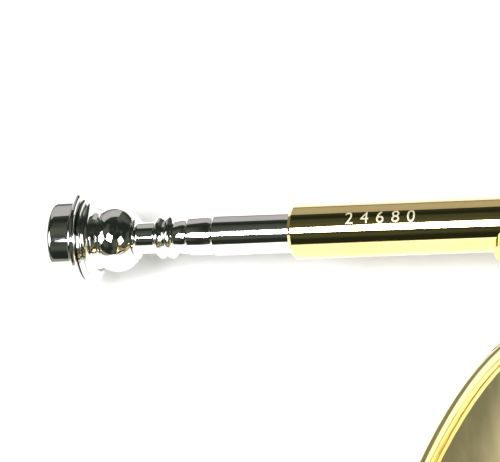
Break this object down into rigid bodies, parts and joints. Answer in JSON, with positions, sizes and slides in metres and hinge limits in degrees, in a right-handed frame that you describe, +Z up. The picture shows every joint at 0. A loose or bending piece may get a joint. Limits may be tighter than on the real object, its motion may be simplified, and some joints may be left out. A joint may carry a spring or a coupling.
{
  "type": "french horn",
  "caption": "French horn lying bell side up: round coiled tubing, wide flared bell, rotary valves with finger levers, tuning slides and a mouthpiece.",
  "frame": {"origin": "middle of the footprint, on the surface that the horn lies on", "axes": "+X from the mouthpiece to the finger levers, +Y from the bell to the leadpipe, +Z up"},
  "size_m": [0.5075, 0.4388, 0.2789],
  "materials": {
    "cork": "natural cork",
    "gold_lacquer": "clear gold lacquer over polished brass",
    "nickel_silver": "polished nickel silver",
    "rotor_brass": "lapped bare brass",
    "silver_plate": "polished silver plate",
    "steel": "polished steel"
  },
  "bodies": {
    "horn": {"bell_flare": "gold_lacquer", "bell_rim_wire": "gold_lacquer", "bell_tail_lower": "gold_lacquer", "bell_tail_upper": "gold_lacquer", "corpus_braces": "gold_lacquer", "ferrules": "gold_lacquer", "first_branch": "gold_lacquer", "leadpipe": "gold_lacquer", "leadpipe_coil": "gold_lacquer", "lever_hinge_rod": "steel", "lever_hinge_saddles": "gold_lacquer", "lever_springs": "steel", "main_slide_outer_tubes": "gold_lacquer", "main_slide_return_crook": "gold_lacquer", "mouthpiece_receiver": "gold_lacquer", "pinky_hook": "gold_lacquer", "receiver_brace": "gold_lacquer", "second_branch": "gold_lacquer", "stop_cork_plates": "gold_lacquer", "stop_corks": "cork", "valve_1_bearing_plate": "gold_lacquer", "valve_1_cap": "gold_lacquer", "valve_1_casing": "gold_lacquer", "valve_1_slide_outer_tubes": "gold_lacquer", "valve_2_bearing_plate": "gold_lacquer", "valve_2_cap": "gold_lacquer", "valve_2_casing": "gold_lacquer", "valve_2_slide_outer_tubes": "gold_lacquer", "valve_3_bearing_plate": "gold_lacquer", "valve_3_cap": "gold_lacquer", "valve_3_casing": "gold_lacquer", "valve_3_slide_outer_tubes": "gold_lacquer", "valve_knuckles": "gold_lacquer", "valve_lower_bearings": "gold_lacquer"},
    "mouthpiece": {"mouthpiece_cup": "silver_plate", "mouthpiece_rim": "silver_plate"},
    "main_slide": {"main_slide_bow": "nickel_silver", "main_slide_bow_ferrules": "gold_lacquer", "main_slide_brace": "gold_lacquer", "water_key_saddle": "gold_lacquer"},
    "water_key": {"water_key_lever": "gold_lacquer", "water_key_cork": "cork"},
    "valve_1_slide_body": {"valve_1_slide": "nickel_silver", "valve_1_slide_ferrules": "gold_lacquer"},
    "rotor_1": {"valve_1_rotor": "rotor_brass", "valve_1_stop_arm": "gold_lacquer"},
    "link_1_body": {"link_1": "steel"},
    "lever_1_body": {"lever_1": "gold_lacquer"},
    "valve_2_slide_body": {"valve_2_slide": "nickel_silver", "valve_2_slide_ferrules": "gold_lacquer"},
    "rotor_2": {"valve_2_rotor": "rotor_brass", "valve_2_stop_arm": "gold_lacquer"},
    "link_2_body": {"link_2": "steel"},
    "lever_2_body": {"lever_2": "gold_lacquer"},
    "valve_3_slide_body": {"valve_3_slide": "nickel_silver", "valve_3_slide_ferrules": "gold_lacquer"},
    "rotor_3": {"valve_3_rotor": "rotor_brass", "valve_3_stop_arm": "gold_lacquer"},
    "link_3_body": {"link_3": "steel"},
    "lever_3_body": {"lever_3": "gold_lacquer"}
  },
  "joints": [
    {"name": "mouthpiece_pull", "type": "slide", "parent": "horn", "child": "mouthpiece", "axis": [-0.9928, 0, -0.1194], "range_m": [0, 0.022]},
    {"name": "main_slide_pull", "type": "slide", "parent": "horn", "child": "main_slide", "axis": [-1, 0, 0], "range_m": [0, 0.045]},
    {"name": "water_key_press", "type": "hinge", "parent": "main_slide", "child": "water_key", "pos_m": [-0.03417, -0.07095, 0.026], "axis": [0, 0, -1], "range_deg": [0, 12], "stiffness_Nm_per_rad": 0.05, "springref_deg": -17.19},
    {"name": "valve_1_slide_pull", "type": "slide", "parent": "horn", "child": "valve_1_slide_body", "axis": [-1, 0, 0], "range_m": [0, 0.02]},
    {"name": "lever_1_press", "type": "hinge", "parent": "horn", "child": "lever_1_body", "pos_m": [0.15083, 0.12415, 0.021], "axis": [0, -1, 0], "range_deg": [0, 14.4], "stiffness_Nm_per_rad": 0.3, "springref_deg": -28.65},
    {"name": "rotor_1_turn", "type": "hinge", "parent": "horn", "child": "rotor_1", "pos_m": [0.10383, 0.12415, 0.026], "axis": [0, 0, 1], "range_deg": [0, 90]},
    {"name": "link_1_swing", "type": "hinge", "parent": "rotor_1", "child": "link_1_body", "pos_m": [0.10772, 0.12804, 0.052], "axis": [0, 0, 1], "range_deg": [-90, 0]},
    {"name": "valve_2_slide_pull", "type": "slide", "parent": "horn", "child": "valve_2_slide_body", "axis": [-1, 0, 0], "range_m": [0, 0.02]},
    {"name": "lever_2_press", "type": "hinge", "parent": "horn", "child": "lever_2_body", "pos_m": [0.15083, 0.07815, 0.021], "axis": [0, -1, 0], "range_deg": [0, 14.4], "stiffness_Nm_per_rad": 0.3, "springref_deg": -28.65},
    {"name": "rotor_2_turn", "type": "hinge", "parent": "horn", "child": "rotor_2", "pos_m": [0.10383, 0.07815, 0.026], "axis": [0, 0, 1], "range_deg": [0, 90]},
    {"name": "link_2_swing", "type": "hinge", "parent": "rotor_2", "child": "link_2_body", "pos_m": [0.10772, 0.08204, 0.052], "axis": [0, 0, 1], "range_deg": [-90, 0]},
    {"name": "valve_3_slide_pull", "type": "slide", "parent": "horn", "child": "valve_3_slide_body", "axis": [-1, 0, 0], "range_m": [0, 0.016]},
    {"name": "lever_3_press", "type": "hinge", "parent": "horn", "child": "lever_3_body", "pos_m": [0.15083, 0.03215, 0.021], "axis": [0, -1, 0], "range_deg": [0, 14.4], "stiffness_Nm_per_rad": 0.3, "springref_deg": -28.65},
    {"name": "rotor_3_turn", "type": "hinge", "parent": "horn", "child": "rotor_3", "pos_m": [0.10383, 0.03215, 0.026], "axis": [0, 0, 1], "range_deg": [0, 90]},
    {"name": "link_3_swing", "type": "hinge", "parent": "rotor_3", "child": "link_3_body", "pos_m": [0.10772, 0.03604, 0.052], "axis": [0, 0, 1], "range_deg": [-90, 0]}
  ],
  "couplings": [
    {"joint": "rotor_1_turn", "follows": "lever_1_press", "ratio": 6.25},
    {"joint": "link_1_swing", "follows": "lever_1_press", "ratio": -6.25},
    {"joint": "rotor_2_turn", "follows": "lever_2_press", "ratio": 6.25},
    {"joint": "link_2_swing", "follows": "lever_2_press", "ratio": -6.25},
    {"joint": "rotor_3_turn", "follows": "lever_3_press", "ratio": 6.25},
    {"joint": "link_3_swing", "follows": "lever_3_press", "ratio": -6.25}
  ]
}
